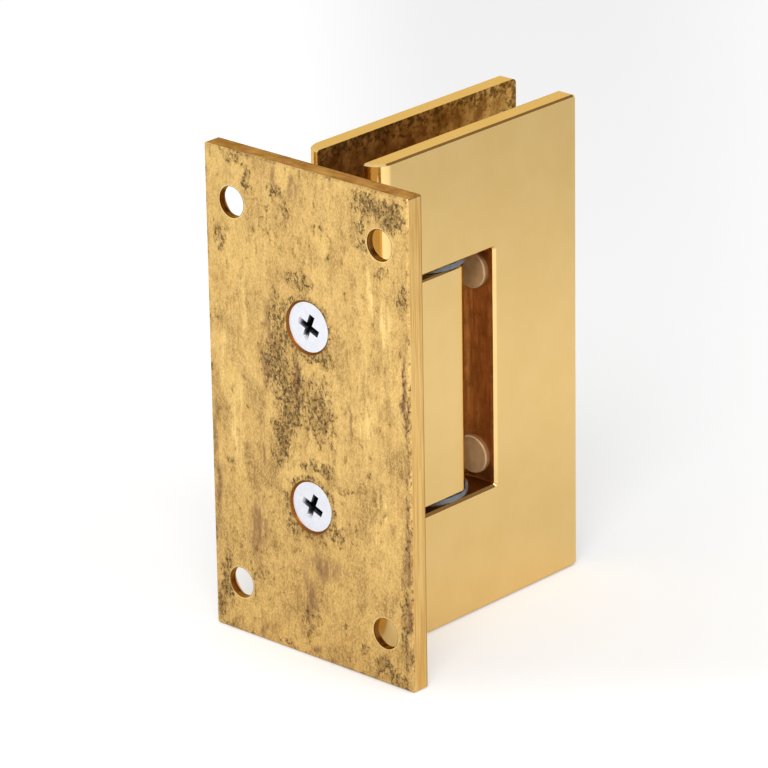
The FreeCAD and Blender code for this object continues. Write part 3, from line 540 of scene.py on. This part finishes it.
def dress_nodes():
    """Give every solid its material."""
    slate = nylon("slate_nylon", dark=0x5A6068, light=0x747B86, roughness=0.42, subsurface=0.0)
    milky = nylon("milky_nylon", dark=0xC9B79C, light=0xDCCDB4, roughness=0.3, subsurface=0.35)
    # the buffers' paler rim is a painted highlight and their darker side painted shade
    buffer = nylon("buffer_nylon", dark=0xB8946A, light=0xCAA87E, roughness=0.28,
                   subsurface=0.3, rim=0xCEAC84, side=0x8A643C)
    steel_grey = steel()
    clamp = clamp_brass()
    materials = {
        "wall_plate": wall_plate_brass(),
        "pivot_block": block_brass(),
        "front_clamp_plate": clamp,
        "rear_clamp_plate": clamp,
        "plate_screws": zinc_plating("plate_screw_zinc",
                                     lambda graph: graph.less(graph.x, SCREW_FACE)),
        "clamp_screws": zinc_plating("clamp_screw_zinc",
                                     lambda graph: graph.less(CLAMP_SCREW_FACE, graph.y)),
        "hinge_pin": steel_grey,
        "pin_grub_screws": steel_grey,
        "upper_detent_spring": steel_grey,
        "lower_detent_spring": steel_grey,
        "upper_washer": slate,
        "lower_washer": slate,
        "upper_bush": slate,
        "lower_bush": slate,
        "upper_detent_pad": milky,
        "lower_detent_pad": milky,
        "upper_buffer": buffer,
        "lower_buffer": buffer,
    }
    for name, material in materials.items():
        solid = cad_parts[name]
        solid.data.materials.clear()
        solid.data.materials.append(material)


def seen_directly(nodes, links):
    """1 for rays from the camera, from mirrors and through glass, 0 for the rest."""
    path = nodes.new("ShaderNodeLightPath")
    seen = path.outputs["Is Camera Ray"]
    for name in ("Is Glossy Ray", "Is Transmission Ray"):
        either = nodes.new("ShaderNodeMath")
        either.operation = "MAXIMUM"
        links.new(seen, either.inputs[0])
        links.new(path.outputs[name], either.inputs[1])
        seen = either.outputs["Value"]
    return seen


def stage_square(name, place, size):
    """A square mesh that belongs to the studio, facing +Z until it is turned."""
    half = size / 2
    corners = [(-half, -half, 0), (half, -half, 0), (half, half, 0), (-half, half, 0)]
    mesh = bpy.data.meshes.new(name)
    mesh.from_pydata(corners, [], [(0, 1, 2, 3)])
    square = bpy.data.objects.new(name, mesh)
    square.location = place
    bpy.context.scene.collection.objects.link(square)
    return square


def along(graph, direction):
    """How far a place lies along a direction over the floor, in millimetres."""
    return graph.total(*[graph.product(part, step)
                         for part, step in zip((graph.x, graph.y), direction)])


def make_floor():
    """A pale floor with the object's shadow. It glows to show white: more in front of the
    object, less beside its right end and far to the right."""
    floor = stage_square("floor", (0.0, 0.0, cad_box[0].z - FLOOR_GAP), FLOOR_SIZE)
    graph = Graph("pale_floor")
    to_right = along(graph, PICTURE_RIGHT)
    to_front = along(graph, PICTURE_FRONT)
    beside = graph.product(graph.fade(to_right, -20.0, 30.0), graph.fade(to_right, 150.0, 60.0))
    glow = graph.total(graph.fade(to_right, 120.0, 320.0, low=0.45, high=0.16),
                       graph.product(beside, -0.14),
                       graph.fade(to_front, 0.0, 60.0, high=0.42))
    graph.set(Base_Color=EVEN_GREY, Roughness=0.9, Specular_IOR_Level=0.0, Emission_Color=WHITE,
              Emission_Strength=graph.product(glow, seen_directly(graph.nodes, graph.links)))
    floor.data.materials.append(graph.material)


def make_world():
    """White to the camera and in mirrors, and a plain even light on everything else."""
    world = bpy.data.worlds.new("studio")
    bpy.context.scene.world = world
    world.use_nodes = True
    nodes, links = world.node_tree.nodes, world.node_tree.links
    even = nodes["Background"]
    even.inputs["Color"].default_value = EVEN_GREY
    white = nodes.new("ShaderNodeBackground")
    white.inputs["Color"].default_value = WHITE
    mix = nodes.new("ShaderNodeMixShader")
    links.new(seen_directly(nodes, links), mix.inputs["Fac"])
    links.new(even.outputs["Background"], mix.inputs[1])
    links.new(white.outputs["Background"], mix.inputs[2])
    links.new(mix.outputs["Shader"], nodes["World Output"].inputs["Surface"])


def aim(thing, target):
    """Turn a lamp, a card or the camera to look at a place."""
    thing.rotation_mode = "QUATERNION"
    thing.rotation_quaternion = (target - thing.location).to_track_quat("-Z", "Y")


def softbox(name, place, size, power):
    """A round lamp that looks at the object."""
    light = bpy.data.lights.new(name, "AREA")
    light.shape = "DISK"
    light.size = size
    light.energy = power
    lamp = bpy.data.objects.new(name, light)
    lamp.location = place
    aim(lamp, STAGE_CENTRE)
    bpy.context.scene.collection.objects.link(lamp)


def mirror_card(name, place, size, tone, brightness):
    """A plain card that only shows in polished metal, as a studio flag does."""
    card = stage_square(name, place, size)
    aim(card, STAGE_CENTRE)
    for rays in ("camera", "diffuse", "transmission", "volume_scatter", "shadow"):
        setattr(card, f"visible_{rays}", False)
    graph = Graph(name)
    graph.set(Base_Color=BLACK, Roughness=1.0, Specular_IOR_Level=0.0,
              Emission_Color=tone, Emission_Strength=brightness)
    card.data.materials.append(graph.material)


def make_camera():
    """The camera that took the photo, as far as the corners tell."""
    camera = bpy.data.objects.new("camera", bpy.data.cameras.new("camera"))
    camera.data.lens = CAMERA_LENS
    camera.data.sensor_width = SENSOR_WIDTH
    camera.data.clip_end = CLIP_END
    camera.location = CAMERA_PLACE
    aim(camera, CAMERA_TARGET)
    camera.rotation_quaternion = camera.rotation_quaternion @ Quaternion((0, 0, 1), CAMERA_ROLL)
    bpy.context.scene.collection.objects.link(camera)
    bpy.context.scene.camera = camera


dress_nodes()
make_floor()
make_world()
softbox("key_light", place=(-0.9, -0.7, 1.3), size=0.9, power=14.0)
softbox("fill_light", place=(0.2, -1.4, 0.9), size=0.9, power=6.0)
mirror_card("edge_card", place=(0.75, -0.40, 0.69), size=0.75, tone=colour(WARM_CARD),
            brightness=0.28)
mirror_card("back_card", place=(0.82, 0.75, 0.44), size=0.9, tone=WHITE, brightness=1.0)
make_camera()
bpy.context.scene.view_settings.view_transform = "Standard"
